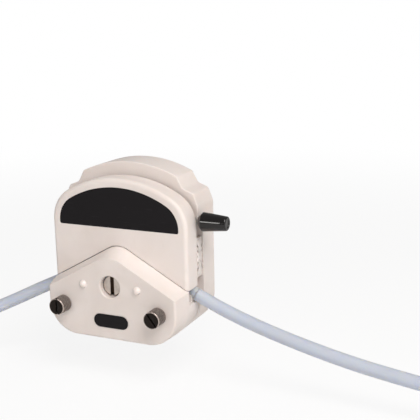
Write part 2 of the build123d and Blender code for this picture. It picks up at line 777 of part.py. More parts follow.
with BuildPart() as occlusion_bed:
    inset = wall + slip
    with BuildSketch(upright(cover_back + slip)):
        add(crowned(side - inset, cover_crest - inset, cover_crown - inset, cover_corner - inset, -base))
    extrude(amount=cover_depth - wall - 2 * slip)
    with BuildSketch(upright(rear_depth + gap)):
        Rectangle(2 * clamp_in - 2 * slip, lip_top, align=(Align.CENTER, Align.MIN))
    extrude(amount=cover_back + wall - rear_depth)
    with BuildSketch(upright(rear_depth)):
        add(tube_channel.sketch_local)
    extrude(amount=face_depth - rear_depth, mode=Mode.SUBTRACT)
    # Seats for the tube clamps, and hollows that lighten the block
    with BuildSketch(upright(rear_depth)):
        for s in (-1, 1):
            with Locations((s * (clamp_in + side) / 2, -base)):
                Rectangle(side - clamp_in, base + leg_top + slip, align=(Align.CENTER, Align.MIN))
    extrude(amount=clamp_front + slip - rear_depth, mode=Mode.SUBTRACT)
    with BuildSketch(upright(cover_back + slip)):
        with Locations((0, hollow_z)):
            RectangleRounded(hollow_width, hollow_height, wall)
    extrude(amount=hollow_depth, mode=Mode.SUBTRACT)
    with BuildSketch(upright(rear_depth)):
        with Locations((0, follower_z)):
            Circle(follower_radius + slip)
    extrude(amount=cover_back + follower_bite - rear_depth, mode=Mode.SUBTRACT)
    with BuildSketch(upright(rear_depth)):
        with Locations((rail_x, rail_middle), (-rail_x, rail_middle)):
            Circle(screw_radius + slip)
    extrude(amount=gap + rail_bite, mode=Mode.SUBTRACT)
    with BuildSketch(upright(cover_back)):
        with Locations(*[(s * x, z) for x, z in cover_screws for s in (-1, 1)]):
            Circle(screw_radius + slip)
    extrude(amount=cover_depth, mode=Mode.SUBTRACT)
occlusion_bed.part.label = "occlusion_bed"

with BuildPart() as follower_pin:
    with BuildSketch(upright(cam_front - groove_depth + gap)):
        with Locations((0, follower_z)):
            Circle(follower_radius)
    extrude(amount=cover_back + follower_bite - cam_front + groove_depth - gap)
follower_pin.part.label = "follower_pin"

with BuildPart() as slide_rails:
    for width, start, stop in (
        (rail_head, groove_back + gap, groove_back + gap + rail_thick),
        (rail_neck, groove_back + gap, rear_depth + gap),
    ):
        with BuildSketch(upright(start)):
            with Locations((rail_x, rail_foot), (-rail_x, rail_foot)):
                Rectangle(width, rail_top - rail_foot, align=(Align.CENTER, Align.MIN))
        extrude(amount=stop - start)
    with BuildSketch(upright(groove_back)):
        with Locations((rail_x, rail_middle), (-rail_x, rail_middle)):
            Circle(screw_radius + slip)
    extrude(amount=2 * rail_thick + 2 * gap, mode=Mode.SUBTRACT)
slide_rails.part.label = "slide_rails"

with BuildPart() as rail_screws:
    with BuildSketch(upright(groove_back + gap)):
        with Locations((rail_x, rail_middle), (-rail_x, rail_middle)):
            Circle(screw_radius)
    extrude(amount=2 * rail_thick + rail_bite)
rail_screws.part.label = "rail_screws"

clamps = {}
for s, name in ((-1, "left_tube_clamp"), (1, "right_tube_clamp")):
    with BuildPart() as clamp:
        for inner, outer, start, stop in (
            (clamp_in, clamp_out, rear_depth + gap, clamp_front),
            (leg_in, leg_out, rear_depth - recess_depth + gap, cover_back - gap),
        ):
            with BuildSketch(upright(start)):
                with Locations((s * (inner + outer) / 2, leg_top)):
                    Rectangle(outer - inner, leg_top - tube_z(inner), align=(Align.CENTER, Align.MAX))
            extrude(amount=stop - start)
        with BuildSketch(exit_plane(s, clamp_in - 2 * tube_radius)):
            Circle(tube_radius + gap)
            with Locations((0, tube_radius * s)):
                Rectangle(4 * clamp_front, 2 * tube_radius, mode=Mode.ADD)
        extrude(amount=5 * tube_radius, mode=Mode.SUBTRACT)
    clamp.part.label = name
    clamps[name] = clamp.part

with BuildPart() as cover_screw_set:
    with BuildSketch(upright(nose_back - wall)):
        with Locations(*[(s * x, z) for x, z in cover_screws for s in (-1, 1)]):
            Circle(screw_radius)
    extrude(amount=wall)
cover_screw_set.part.label = "cover_screws"

# ---- tube ------------------------------------------------------------------------------------------
tube_sections = (
    (wrap, flat_half, band_half), ((wrap + tube_fall) / 2, flat_half - narrow, band_half + swell),
    (tube_fall, tube_radius, tube_radius),
)
with BuildPart() as tube_in_head:
    start = Plane(
        origin=(-arc_end[0], -tube_depth, arc_end[1]), x_dir=(0, 1, 0),
        z_dir=(cos(radians(wrap)), 0, sin(radians(wrap))),
    )
    with BuildSketch(start):
        Ellipse(flat_half, band_half)
    revolve(axis=Axis.Y, revolution_arc=2 * wrap)
    for s in (-1, 1):
        for angle, width, thick in tube_sections:
            x, z = bent(angle)
            across = Plane(
                origin=(s * x, -tube_depth, z), x_dir=(0, 1, 0),
                z_dir=(s * cos(radians(angle)), 0, -sin(radians(angle))),
            )
            with BuildSketch(across):
                Ellipse(width, thick)
        loft()
        with BuildSketch(exit_plane(s, bend_end[0])):
            Circle(tube_radius)
        extrude(amount=(tube_end_x - bend_end[0]) / cos(tilt))
tube_in_head.part.label = "tube_in_head"


def exit_point(s, x):
    """Point on the tube's exit axis on side s."""
    return (s * x, -tube_depth, tube_z(x))


def cord_radii(points):
    """Arc radius for each corner of a route."""
    radii = []
    for before, corner, after in zip(points, points[1:], points[2:]):
        run_in, run_out = Vector(*corner) - Vector(*before), Vector(*after) - Vector(*corner)
        turn = radians(run_in.get_angle(run_out))
        radii.append(0.45 * min(run_in.length, run_out.length) / tan(turn / 2))
    return radii


tubes = {}
for s, name, route_points in ((-1, "left_tube", left_route), (1, "right_tube", right_route)):
    points = [exit_point(s, tube_end_x), exit_point(s, tube_lead_x), *route_points]
    radii = cord_radii(points)
    with BuildPart() as tube:
        with BuildLine() as tube_line:
            FilletPolyline(*points, radius=radii)
        with BuildSketch(exit_plane(s, tube_end_x)):
            Circle(tube_radius)
        sweep(path=tube_line.wire())
    tube.part.label = name
    tubes[name] = tube.part
    length = tube_line.wire().length
    section = pi * tube_radius ** 2
    print(name, "radii", [round(r) for r in radii], "length", round(length, 1))
    print(name, "volume over section times length", round(tube.part.volume / (section * length), 4))

# ---- files ------------------------------------------------------------------------------------------
os.makedirs("parts", exist_ok=True)
pieces = {
    "rear_housing": rear_housing.part, "front_housing": front_housing.part,
    "housing_screws": housing_screws.part, "nose_plate": nose_plate.part,
    "drive_shaft": drive_shaft.part, "roller_pins": roller_pins.part,
    "rear_snap_ring": rear_snap_ring, "front_snap_ring": front_snap_ring,
    "lever_cam": lever_cam.part, "lever_arm": lever_arm.part, "lever_screws": lever_screws.part,
    "lever_handle": lever_handle.part, "lever_pivot": lever_pivot.part,
    "lever_snap_ring": lever_snap_ring,
    "front_cover": front_cover.part, "cover_label": cover_label.part,
    "occlusion_bed": occlusion_bed.part, "follower_pin": follower_pin.part,
    "slide_rails": slide_rails.part, "rail_screws": rail_screws.part,
    "cover_screws": cover_screw_set.part, "tube_in_head": tube_in_head.part,
    **cradles, **bearings, **thumbscrews, **discs, **rollers, **clamps, **tubes,
}
for name, piece in pieces.items():
    piece.label = name
    export_step(piece, f"parts/{name}.step")
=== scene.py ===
"""Dresses the peristaltic pump head: finishes, free tubes, knurled screws, handle and studio.

Lengths are metres in the construction's frame: the shaft axis at the rear face is the origin,
the front faces -Y, +X is to the right of someone facing the front, and +Z is up.
"""

import json
import math

import bmesh
import bpy
import numpy as np
from bpy.props import FloatProperty, FloatVectorProperty, PointerProperty
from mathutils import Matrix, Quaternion, Vector


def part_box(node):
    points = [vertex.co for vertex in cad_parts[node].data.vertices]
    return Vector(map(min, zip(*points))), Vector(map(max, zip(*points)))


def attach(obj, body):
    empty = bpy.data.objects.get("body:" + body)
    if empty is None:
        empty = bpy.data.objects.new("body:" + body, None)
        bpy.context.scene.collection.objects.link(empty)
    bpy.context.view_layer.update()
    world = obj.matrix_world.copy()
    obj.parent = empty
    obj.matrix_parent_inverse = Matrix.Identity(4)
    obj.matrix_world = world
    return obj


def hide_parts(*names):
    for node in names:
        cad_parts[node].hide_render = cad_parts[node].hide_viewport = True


bl_info = {
    "name": "Peristaltic pump head",
    "version": (1, 0, 0),
    "blender": (4, 5, 0),
    "location": "View3D > Sidebar > Pump head",
    "description": "Finishes, tubes, screws and studio for a peristaltic pump head",
    "category": "Object",
}

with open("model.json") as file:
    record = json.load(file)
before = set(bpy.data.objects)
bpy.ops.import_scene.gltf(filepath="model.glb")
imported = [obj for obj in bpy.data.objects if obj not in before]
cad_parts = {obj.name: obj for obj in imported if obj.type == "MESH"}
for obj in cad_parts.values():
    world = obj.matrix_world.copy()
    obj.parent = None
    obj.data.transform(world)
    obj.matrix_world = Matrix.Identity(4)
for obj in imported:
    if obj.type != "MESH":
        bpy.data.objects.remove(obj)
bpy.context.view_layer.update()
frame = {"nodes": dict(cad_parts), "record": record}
MM = 0.001
TURN = 2 * math.pi
SLOT_OF = {part["node"]: part["material_slot"] for part in frame["record"]["subparts"]}

WHITE = (1, 1, 1)
WARM_WHITE = (1, 0.985, 0.97)
LAMP_TINT = (1.0, 0.975, 0.95)


# ---- sizes and colours a user would change ----------------------------------------------
def length(name, description, default):
    """Length setting in metres."""
    return FloatProperty(
        name=name, description=description, default=default, unit="LENGTH", precision=5
    )


def colour(name, description, default):
    """Colour setting in linear red, green and blue."""
    return FloatVectorProperty(
        name=name, description=description, default=default, subtype="COLOR", size=3, min=0, max=1
    )


def amount(name, description, default, unit="NONE"):
    """Number setting, plain or with a unit."""
    return FloatProperty(name=name, description=description, default=default, unit=unit)


def angle(name, description, default):
    """Angle setting, given in degrees."""
    return FloatProperty(
        name=name, description=description, default=math.radians(default), subtype="ANGLE"
    )


class PumpHeadSizes(bpy.types.PropertyGroup):
    """Sizes of the modelled details."""

    edge: length("Edge", "Softness of the moulded edges", 0.7 * MM)
    knurl_depth: length("Knurl depth", "Depth of the diamond knurl", 0.32 * MM)
    knurl_pitch: length("Knurl pitch", "Distance between knurl crests", 1.05 * MM)
    rim_band: length("Rim band", "Plain band at each end of the knurl", 1.0 * MM)
    rim_round: length("Rim round", "Rounding of the screw head's edges", 0.45 * MM)
    head_length: length("Head length", "Length of a screw head", 11.2 * MM)
    slot_width: length("Slot width", "Width of the screwdriver slots", 1.7 * MM)
    slot_depth: length("Slot depth", "Depth of the screwdriver slots", 2.2 * MM)
    left_slot: angle("Left slot", "How far the left screw's slot is turned", 90)
    right_slot: angle("Right slot", "How far the right screw's slot is turned", 128)
    thread_radius: length("Thread radius", "Outer radius of the screw thread", 2.5 * MM)
    thread_pitch: length("Thread pitch", "Advance of the thread in one turn", 0.8 * MM)
    thread_depth: length("Thread depth", "Depth of the thread", 0.42 * MM)
    thread_length: length("Thread length", "Length of the thread from the screw's end", 10.3 * MM)
    shank_radius: length("Shank radius", "Radius of the plain shank", 2.3 * MM)
    handle_cone: length("Handle cone", "Length of the handle's cone", 3.4 * MM)
    handle_inner: length("Handle inner radius", "Radius where the arm enters", 4.2 * MM)
    handle_tip: length("Handle tip radius", "Radius of the outer end", 5.4 * MM)
    stud_x: length("Stud distance", "Distance of the studs from the middle", 22.9 * MM)
    stud_radius: length("Stud radius", "Radius of the domed studs", 3.16 * MM)
    stud_sink: length("Stud sink", "Centre of a dome behind the front face", 0.6 * MM)
    front_depth: length("Front depth", "Front face from the rear face", 62.8 * MM)
    # shaft_slot: depth of the part of the shaft's slot that is darkened with painted shade
    shaft_slot: length("Shaft slot", "Depth of the greasy part of the shaft's slot", 4.3 * MM)
    tube_radius: length("Tube radius", "Outer radius of the tube", 4.9 * MM)
    tube_wall: length("Tube wall", "Wall of the tube", 2.5 * MM)
    leg_front: length("Leg front", "Front of the clamps' legs in the flanks", -31.1 * MM)
    leaf_thick: length("Leaf thickness", "Thickness of the clamps' stepped leaves", 0.8 * MM)


class PumpHeadColours(bpy.types.PropertyGroup):
    """Colours of the finishes."""

    ivory: colour("Ivory", "Moulded housing plastic", (0.80, 0.728, 0.692))
    label: colour("Label", "Bare film of the label and the plate", (0.0105, 0.0092, 0.0105))
    handle: colour("Handle", "Moulded lever handle", (0.0055, 0.0042, 0.0044))
    blackened: colour("Blackened steel", "Chemically blackened screws", (0.016, 0.012, 0.010))
    worn: colour("Worn steel", "Bare crests of the knurl", (0.66, 0.57, 0.52))
    stainless: colour("Stainless steel", "Shaft and lever pivot", (0.66, 0.585, 0.53))
    ground: colour("Ground steel", "Bearing rings, balls and pins", (0.72, 0.72, 0.73))
    zinc: colour("Zinc", "Plated screws and arm", (0.70, 0.68, 0.65))
    bronze: colour("Bronze", "Sintered bushes", (0.50, 0.31, 0.14))
    grey: colour("Grey polymer", "Cam, bed, rails and cradles", (0.33, 0.33, 0.34))
    roller: colour("Roller polymer", "Turned rollers", (0.80, 0.79, 0.76))
    silicone: colour("Silicone", "Tube", (0.60, 0.635, 0.73))


class PumpHeadStudio(bpy.types.PropertyGroup):
    """Camera, lamps and floor."""

    eye: FloatVectorProperty(
        name="Eye", description="Place of the camera", subtype="TRANSLATION", unit="LENGTH",
        default=(0.310458, -0.565880, 0.192499),
    )
    azimuth: angle("Azimuth", "Direction of the camera round the head", 24.365)
    elevation: angle("Elevation", "Height of the camera above the horizon", 12.986)
    roll: angle("Roll", "Tilt of the camera", -1.033)
    lens: amount("Lens", "Focal length on a sensor 36 mm wide", 71.35, "CAMERA")
    floor: length("Floor", "Height of the floor", -75 * MM)
    backdrop: amount("Backdrop", "Brightness of the surroundings on the object", 0.31)
    key_power: amount("Key lamp", "Power of the lamp above the right front", 10.6, "POWER")
    fill_power: amount("Fill lamp", "Power of the lamp at the left front", 1.5, "POWER")
    side_power: amount("Side lamp", "Power of the lamp at the right", 1.8, "POWER")


# ---- shader arithmetic ----------------------------------------------------------------
class Wire:
    """A shader value that takes part in Python arithmetic; each operation adds a Math node."""

    def __init__(self, graph, socket):
        self.graph = graph
        self.socket = socket

    def __add__(self, other):
        return self.graph.maths("ADD", self, other)

    def __radd__(self, other):
        return self.graph.maths("ADD", other, self)

    def __sub__(self, other):
        return self.graph.maths("SUBTRACT", self, other)

    def __rsub__(self, other):
        return self.graph.maths("SUBTRACT", other, self)

    def __mul__(self, other):
        return self.graph.maths("MULTIPLY", self, other)

    def __rmul__(self, other):
        return self.graph.maths("MULTIPLY", other, self)

    def smooth(self, low, high):
        """0 below low and 1 above high, with a soft step between."""
        return self.graph.node(
            "ShaderNodeMapRange", {"interpolation_type": "SMOOTHSTEP", "clamp": True},
            Value=self, **{"From Min": low, "From Max": high},
        )


class Graph:
    """A node tree being built, with one method that adds any node."""

    def __init__(self, tree, output_kind):
        self.tree = tree
        tree.nodes.clear()
        self.output = tree.nodes.new(output_kind)

    def show(self, shader):
        """Sends a shader to the tree's output."""
        self.put(self.output.inputs["Surface"], shader)

    def put(self, slot, value):
        """Links a wire to a socket, or sets a plain value on it."""
        if isinstance(value, Wire):
            self.tree.links.new(value.socket, slot)
        elif hasattr(value, "__len__") and slot.type == "RGBA":
            slot.default_value = (*value, 1.0)[:4]
        else:
            slot.default_value = value

    def node(self, kind, settings=None, output=0, **sockets):
        """Adds a node: its settings first, then its sockets by name or by _ and their index."""
        made = self.tree.nodes.new(kind)
        for name, value in (settings or {}).items():
            setattr(made, name, value)
        for name, value in sockets.items():
            self.put(made.inputs[int(name[1:]) if name[0] == "_" else name], value)
        return Wire(self, made.outputs[output])

    def maths(self, operation, *values):
        """One Math node."""
        sockets = {f"_{k}": value for k, value in enumerate(values)}
        return self.node("ShaderNodeMath", {"operation": operation}, **sockets)

    def seen(self):
        """1 on rays from the camera and on rays through a clear piece, 0 on all others."""
        camera = self.node("ShaderNodeLightPath", output="Is Camera Ray")
        through = self.node("ShaderNodeLightPath", output="Is Transmission Ray")
        return self.maths("MAXIMUM", camera, through)


class Finish(Graph):
    """A material being built: its shader, and the place on the piece as x, y and z."""

    def __init__(self, name, **shader_values):
        self.material = bpy.data.materials.new(name)
        self.material.use_nodes = True
        super().__init__(self.material.node_tree, "ShaderNodeOutputMaterial")
        self.shader = self.node("ShaderNodeBsdfPrincipled", output="BSDF")
        self.show(self.shader)
        self.set(**shader_values)
        self.place = self.node("ShaderNodeTexCoord", output="Object")
        split = self.node("ShaderNodeSeparateXYZ", Vector=self.place).socket.node
        self.x, self.y, self.z = (Wire(self, split.outputs[k]) for k in range(3))

    def set(self, **values):
        """Sets or links the shader's own sockets, with _ in place of a space."""
        for name, value in values.items():
            self.put(self.shader.socket.node.inputs[name.replace("_", " ")], value)

    def mix(self, first, second, factor):
        """Colour between two others."""
        settings = {"data_type": "RGBA", "clamp_factor": True}
        return self.node("ShaderNodeMix", settings, output=2, _0=factor, _6=first, _7=second)

    def noise(self, grain, detail=2.0, stretch=(1, 1, 1), distortion=0.0):
        """Noise whose features are about grain metres wide, from 0 to 1."""
        spot = self.node(
            "ShaderNodeMapping", {"vector_type": "POINT"}, Vector=self.place, Scale=stretch
        )
        return self.node(
            "ShaderNodeTexNoise", Vector=spot, Scale=1 / grain, Detail=detail,
            Distortion=distortion,
        )

    def radius(self, first, second, centre=(0, 0)):
        """Distance from an axis that runs along the third coordinate."""
        across, up = first - centre[0], second - centre[1]
        return self.maths("SQRT", across * across + up * up)

    def bump(self, height, depth, strength, soft_edge=0.0):
        """Sends a height pattern, depth metres deep, to the normal, over softened edges."""
        sockets = {"Height": height, "Distance": depth, "Strength": strength}
        if soft_edge:
            sockets["Normal"] = self.node("ShaderNodeBevel", {"samples": 6}, Radius=soft_edge)
        self.set(Normal=self.node("ShaderNodeBump", **sockets))


# ---- finishes ---------------------------------------------------------------------------
def moulded_ivory(name, base, soft_edge, gloss=0.40):
    """Warm satin plastic with a spark-eroded grain, faint flow clouds and handling marks."""
    finish = Finish(
        name, Subsurface_Weight=0.12, Subsurface_Radius=(0.004, 0.0025, 0.0016),
        Subsurface_Scale=0.5, IOR=1.49, Specular_IOR_Level=0.45,
    )
    cloud = finish.noise(38 * MM, 3.0, distortion=0.6)
    speck = finish.noise(0.7 * MM, 1.0)
    handled = finish.noise(9 * MM, 4.0, stretch=(1, 1, 0.6)).smooth(0.58, 0.74)
    pale = tuple(min(1.0, 1.03 * c) for c in base)
    dull = (0.955 * base[0], 0.945 * base[1], 0.935 * base[2])
    grimy = (0.90 * base[0], 0.875 * base[1], 0.85 * base[2])
    tone = finish.mix(dull, pale, cloud.smooth(0.3, 0.7))
    tone = finish.mix(tone, grimy, handled * 0.22 + speck.smooth(0.66, 0.74) * 0.16)
    finish.set(Base_Color=tone, Roughness=gloss + speck * 0.07 - handled * 0.10)
    finish.bump(finish.noise(0.42 * MM, 2.0) * 0.7 + cloud * 0.3, 0.035 * MM, 0.55, soft_edge)
    return finish.material


def label_film(name, base):
    """Bare black film: slow waves of the adhesive below, fine grain, scuffs and dust."""
    finish = Finish(name, IOR=1.5, Specular_IOR_Level=0.12)
    wave = finish.noise(14 * MM, 1.0)
    dust = finish.noise(0.55 * MM, 2.0).smooth(0.70, 0.78)
    scuff = finish.noise(2.2 * MM, 3.0, stretch=(0.2, 1, 1.6)).smooth(0.62, 0.72)
    finish.set(
        Base_Color=finish.mix(base, tuple(3.4 * c for c in base), dust * 0.30 + scuff * 0.14),
        Roughness=0.34 + wave * 0.10 + scuff * 0.10,
    )
    finish.bump(wave * 0.8 + finish.noise(0.3 * MM) * 0.2, 0.04 * MM, 0.5, 0.2 * MM)
    return finish.material


def polished_handle(name, base):
    """Glossy black phenolic with hairline scratches round the grip."""
    finish = Finish(name, IOR=1.5, Specular_IOR_Level=0.3, Coat_Roughness=0.04)
    scratch = finish.noise(0.5 * MM, 3.0, stretch=(4, 0.35, 0.35)).smooth(0.60, 0.68)
    peel = finish.noise(2.6 * MM, 1.0)
    finish.set(
        Base_Color=finish.mix(base, tuple(4 * c for c in base), scratch * 0.30),
        Roughness=0.07 + scratch * 0.14 + peel * 0.03,
        Coat_Weight=0.45 - scratch * 0.2,
    )
    finish.bump(peel * 0.75 - scratch * 0.25, 0.02 * MM, 0.3)
    return finish.material


def blackened_knurl(name, black, worn, centre, crest_radius, face):
    """Blackened steel: bare where the knurl's crests and the head's rim rub, turned on its face;
    the bright bare rim is partly a painted highlight.

    centre is the head's axis (x, z), crest_radius its radius and face its front's y.
    """
    finish = Finish(name, IOR=1.5, Specular_IOR_Level=0.15)
    ring = 0.34 * MM
    reach = finish.radius(finish.x, finish.z, centre)
    patch = finish.noise(2.4 * MM, 3.0)
    crest = reach.smooth(crest_radius - 0.24 * MM, crest_radius - 0.03 * MM)
    front = 1 - finish.y.smooth(face + 0.15 * MM, face + 0.9 * MM)
    rings = finish.maths("SINE", reach * (TURN / ring))
    near_face = 1 - finish.y.smooth(face + 0.2 * MM, face + 0.75 * MM)
    # Painted highlight, partly real wear: the rim next to the face is made bright bare steel all
    # round, standing in for the rim's highlight
    rim = near_face * reach.smooth(crest_radius - 0.75 * MM, crest_radius - 0.35 * MM)
    wear_and_rim_highlight = crest * (0.35 + 0.65 * patch) * (1 - front * 0.75) + rim * 0.8
    finish.set(
        Base_Color=finish.mix(black, worn, wear_and_rim_highlight),
        Metallic=0.35 + wear_and_rim_highlight * 0.55,
        Roughness=0.42 + patch * 0.14 - front * 0.10 - rim * 0.12,
    )
    finish.bump(rings * front * 0.4 + finish.noise(0.2 * MM) * 0.6, 0.018 * MM, 0.6)
    return finish.material


def turned_steel(name, base, slot_top, slot_floor):
    """Steel turned round the shaft axis: fine tool rings, faint stains, and painted shade
    darkening the slot.
    """
    finish = Finish(name, Metallic=1.0)
    ring = 0.28 * MM
    reach = finish.radius(finish.x, finish.z)
    rings = finish.maths("SINE", reach * (TURN / ring) + finish.noise(3 * MM) * 2)
    stain = finish.noise(4 * MM, 4.0)
    stained = tuple(0.72 * c for c in base)
    # Painted shade: a dark brown colour stands in for the shadow deep in the shaft's slot
    painted_slot_shade = (0.22 * base[0], 0.18 * base[1], 0.15 * base[2])
    below_face = finish.y.smooth(slot_top + 0.1 * MM, slot_top + 1.4 * MM)
    # deep marks the slot between its top and its floor, where the painted shade goes
    deep = below_face * (1 - finish.y.smooth(slot_floor, slot_floor + 1 * MM))
    tone = finish.mix(base, stained, stain.smooth(0.45, 0.75) * 0.6)
    finish.set(
        Base_Color=finish.mix(tone, painted_slot_shade, deep * (0.75 + stain * 0.25)),
        Roughness=0.26 + stain * 0.12 + rings * 0.03,
    )
    finish.bump(rings * 0.5 + finish.noise(0.25 * MM, stretch=(1, 0.2, 1)) * 0.5, 0.012 * MM, 0.6)
    return finish.material


def ground_steel(name, base, roughness=0.16):
    """Bright ground steel with a hair of oil haze."""
    finish = Finish(name, Metallic=1.0)
    haze = finish.noise(3.5 * MM, 3.0)
    lines = finish.noise(0.16 * MM, 2.0, stretch=(1, 0.08, 1))
    finish.set(
        Base_Color=finish.mix(base, tuple(0.85 * c for c in base), haze * 0.5),
        Roughness=roughness + haze * 0.10,
    )
    finish.bump(lines, 0.006 * MM, 0.5)
    return finish.material


def zinc_plate(name, base):
    """Zinc plating: brushed base with cloudy passivation."""
    finish = Finish(name, Metallic=1.0)
    cloud = finish.noise(2.6 * MM, 4.0)
    brush = finish.noise(0.22 * MM, 2.0, stretch=(0.06, 1, 1))
    cool = (0.86 * base[0], 0.90 * base[1], 0.96 * base[2])
    finish.set(
        Base_Color=finish.mix(base, cool, cloud.smooth(0.35, 0.7)),
        Roughness=0.24 + cloud * 0.16,
    )
    finish.bump(brush, 0.012 * MM, 0.55, 0.25 * MM)
    return finish.material


def sintered_bronze(name, base):
    """Porous bronze: dark oily pores in a matt gold."""
    finish = Finish(name, Metallic=0.9)
    pores = finish.node(
        "ShaderNodeTexVoronoi", {"feature": "F1"}, Vector=finish.place, Scale=1 / (0.35 * MM)
    ).smooth(0.18, 0.42)
    finish.set(
        Base_Color=finish.mix(tuple(0.4 * c for c in base), base, pores),
        Roughness=0.50 - pores * 0.12,
    )
    finish.bump(pores, 0.03 * MM, 0.7)
    return finish.material


def moulded_polymer(name, base, roughness=0.46):
    """Engineering polymer with fine tool lines and pale rub marks."""
    finish = Finish(name, IOR=1.48)
    rub = finish.noise(5 * MM, 4.0).smooth(0.55, 0.75)
    lines = finish.noise(0.35 * MM, 2.0, stretch=(1, 0.15, 1))
    pale = tuple(min(1.0, 1.18 * c) for c in base)
    finish.set(
        Base_Color=finish.mix(base, pale, rub * 0.5 + lines * 0.1),
        Roughness=roughness - rub * 0.12,
    )
    finish.bump(lines, 0.02 * MM, 0.5, 0.3 * MM)
    return finish.material


def milky_silicone(name, base):
    """Translucent silicone: milky scattering, extrusion streaks along the tube and a talc haze."""
    finish = Finish(
        name, Subsurface_Weight=0.85, Subsurface_Radius=(0.5, 0.62, 0.9), Subsurface_Scale=0.006,
        Transmission_Weight=0.18, IOR=1.41, Specular_IOR_Level=0.55,
    )
    streak = finish.noise(1.3 * MM, 2.0, stretch=(0.05, 1, 1))
    haze = finish.noise(11 * MM, 3.0)
    pale = tuple(min(1.0, 1.08 * c) for c in base)
    finish.set(
        Base_Color=finish.mix(base, pale, streak * 0.5 + haze * 0.5),
        Roughness=0.22 + haze * 0.14 + streak * 0.05,
    )
    finish.bump(streak * 0.7 + haze * 0.3, 0.03 * MM, 0.4)
    return finish.material


# ---- surfaces ---------------------------------------------------------------------------
def arc(centre, radius, start, stop, steps):
    """Points on a circle about centre, from one angle in degrees to another."""
    turn = np.radians(np.linspace(start, stop, steps))
    return np.stack([centre[0] + radius * np.cos(turn), centre[1] + radius * np.sin(turn)], 1)


def revolve(along, reach, centre, axis, across, up, columns=None):
    """Rings round an axis: point = centre + along * axis + reach * (cos t * across + sin t * up).

    along has one value a ring, and reach one value a ring or one for each point of each ring.
    """
    reach = np.broadcast_to(reach if np.ndim(reach) == 2 else np.reshape(reach, (-1, 1)),
                            (len(along), columns or np.shape(reach)[1]))
    turn = np.arange(reach.shape[1]) * TURN / reach.shape[1]
    round_axis = np.outer(np.cos(turn), across) + np.outer(np.sin(turn), up)
    return np.asarray(centre) + np.outer(along, axis)[:, None] + reach[..., None] * round_axis


def skin(name, rings, body, material, sharp=35.0):
    """Closed surface through rings of points, with a fan over each end; rides on a body."""
    rows, columns = rings.shape[:2]
    middle = np.stack([rings[0].mean(0), rings[-1].mean(0)])
    points = np.concatenate([rings.reshape(-1, 3), middle])
    row, column = np.meshgrid(np.arange(rows - 1), np.arange(columns), indexing="ij")
    beside = (column + 1) % columns
    quads = np.stack(
        [row * columns + column, row * columns + beside,
         (row + 1) * columns + beside, (row + 1) * columns + column], -1,
    ).reshape(-1, 4)
    here = np.arange(columns)
    there = (here + 1) % columns
    last = (rows - 1) * columns
    first_fan = np.stack([there, here, np.full(columns, rows * columns)], 1)
    last_fan = np.stack([last + here, last + there, np.full(columns, rows * columns + 1)], 1)
    faces = [*quads.tolist(), *first_fan.tolist(), *last_fan.tolist()]
    return solid(name, points, faces, body, material, sharp)


def solid(name, points, faces, body, material, sharp=35.0):
    """Object with merged points, faces outwards and smooth shading, riding on a body."""
    mesh = bpy.data.meshes.new(name)
    mesh.from_pydata(np.asarray(points).tolist(), [], faces)
    shell = bmesh.new()
    shell.from_mesh(mesh)
    bmesh.ops.remove_doubles(shell, verts=shell.verts, dist=0.001 * MM)
    bmesh.ops.recalc_face_normals(shell, faces=shell.faces)
    shell.to_mesh(mesh)
    shell.free()
    mesh.materials.append(material)
    mesh.shade_smooth()
    mesh.set_sharp_from_angle(angle=math.radians(sharp))
    piece = bpy.data.objects.new(name, mesh)
    bpy.context.scene.collection.objects.link(piece)
    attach(piece, body)
    return piece


def carve(piece, cutter):
    """Cuts one piece's mesh with another, which is then removed."""
    cut = piece.modifiers.new("cut", "BOOLEAN")
    cut.object = cutter
    cut.solver = "EXACT"
    drawn = piece.evaluated_get(bpy.context.evaluated_depsgraph_get())
    result = bpy.data.meshes.new_from_object(drawn)
    result.name = piece.data.name
    piece.modifiers.clear()
    piece.data = result
    bpy.data.objects.remove(cutter)


# ---- the head's pieces --------------------------------------------------------------------
def settings():
    """The scene's own settings: sizes, colours and studio."""
    scene = bpy.context.scene
    return scene.pump_head_sizes, scene.pump_head_colours, scene.pump_head_studio


def dress(slot, material):
    """Gives a finish to every construction node of a material slot."""
    for node, node_slot in SLOT_OF.items():
        if node_slot == slot:
            mesh = frame["nodes"][node].data
            mesh.materials.clear()
            mesh.materials.append(material)


def middle(node):
    """Centre of a construction node."""
    low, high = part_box(node)
    return (np.array(low) + np.array(high)) / 2


class PUMPHEAD_OT_housings(bpy.types.Operator):
    """Finish the housings, the cover and the tube clamps as satin moulded plastic"""

    bl_idname = "pump_head.housings"
    bl_label = "Housings and cover"

    def execute(self, context):
        sizes, colours, _ = settings()
        dress("ivory_plastic", moulded_ivory("moulded_ivory", tuple(colours.ivory), sizes.edge))
        return {"FINISHED"}


class PUMPHEAD_OT_labels(bpy.types.Operator):
    """Finish the bare label panel on the cover and the bare plate on the nose"""

    bl_idname = "pump_head.labels"
    bl_label = "Label and plate"

    def execute(self, context):
        _, colours, _ = settings()
        dress("black_label", label_film("label_film", tuple(colours.label)))
        return {"FINISHED"}


class PUMPHEAD_OT_studs(bpy.types.Operator):
    """Set a glossy domed cap with a flared foot over each locating stud"""

    bl_idname = "pump_head.studs"
    bl_label = "Locating studs"

    def execute(self, context):
        sizes, colours, _ = settings()
        radius, sink = sizes.stud_radius, sizes.stud_sink
        flare, collar = 0.35 * MM, 0.1 * MM     # how far the foot and its top stand out
        bite, foot = 0.05 * MM, 0.06 * MM       # foot below the front face, and above it
        tone = tuple(min(1.0, 1.08 * c) for c in colours.ivory)
        gloss = moulded_ivory("glossy_stud", tone, 0.0, gloss=0.14)
        dome = arc((0, 0), radius, 12.5, 88, 18)
        reach = np.concatenate([[radius + flare, radius + collar], dome[:, 0]])
        along = np.maximum(np.concatenate([[sink - bite, sink + foot], dome[:, 1]]), sink - bite)
        for side, name in ((-1, "left_stud"), (1, "right_stud")):
            centre = (side * sizes.stud_x, -(sizes.front_depth - sink), 0)
            rings = revolve(along, reach, centre, (0, -1, 0), (1, 0, 0), (0, 0, 1), 48)
            skin(name, rings, "pump_body", gloss)
        return {"FINISHED"}


